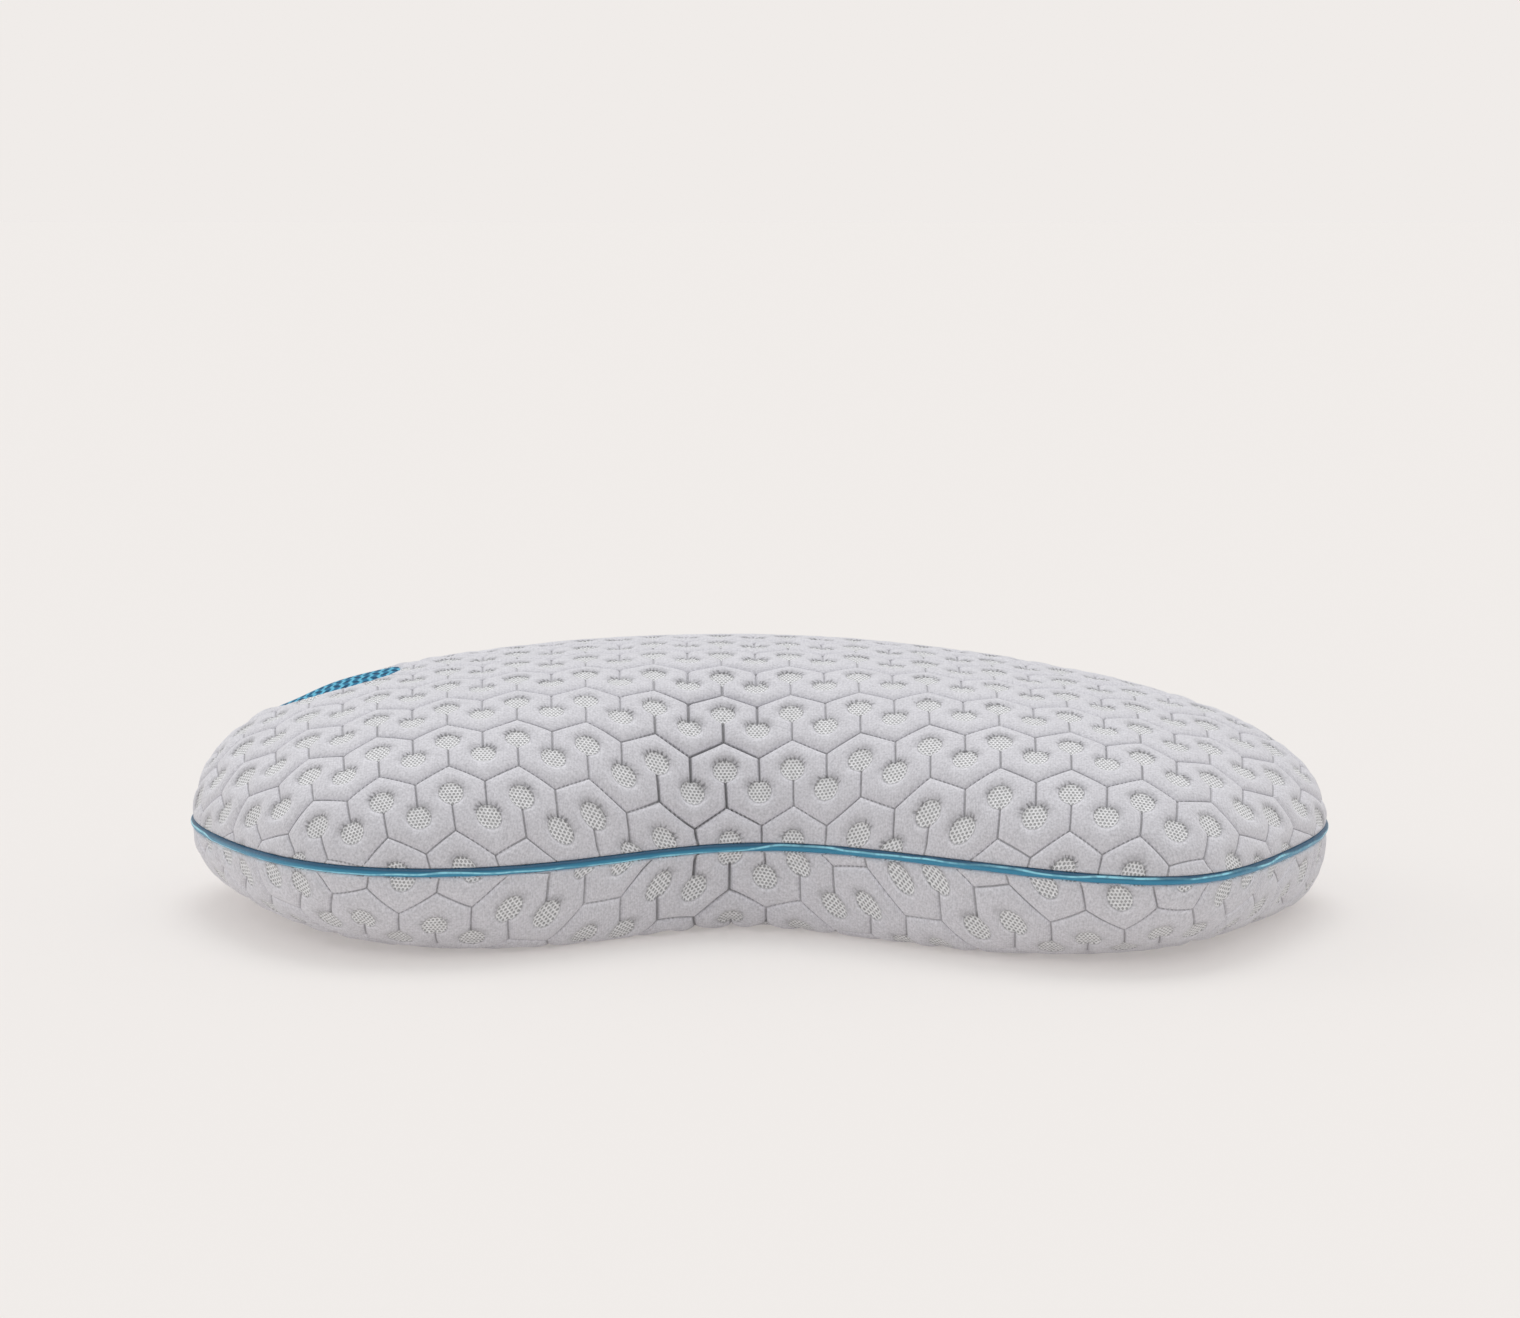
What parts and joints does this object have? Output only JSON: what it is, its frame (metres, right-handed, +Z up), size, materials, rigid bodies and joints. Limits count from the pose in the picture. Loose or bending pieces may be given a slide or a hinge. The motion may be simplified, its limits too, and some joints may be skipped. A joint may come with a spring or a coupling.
{
  "type": "curved foam pillow",
  "caption": "Bean-shaped foam pillow with a quilted knit cover, a shoulder notch in its front, satin piping in the side seam and a plain mesh panel on one end.",
  "frame": {"origin": "centre of the bounding box, on the surface that the pillow lies on", "axes": "+X along the long axis, +Y from the shoulder notch to the back, +Z up"},
  "size_m": [0.6627, 0.4229, 0.1454],
  "materials": {
    "cover": "velvety quilted knit, pale grey with a hint of lavender",
    "piping": "satin, teal blue",
    "mesh": "ribbed open mesh, teal blue"
  },
  "bodies": {
    "root": {"pillow_body": "cover", "piping": "piping", "mesh_patch": "mesh"}
  },
  "joints": []
}
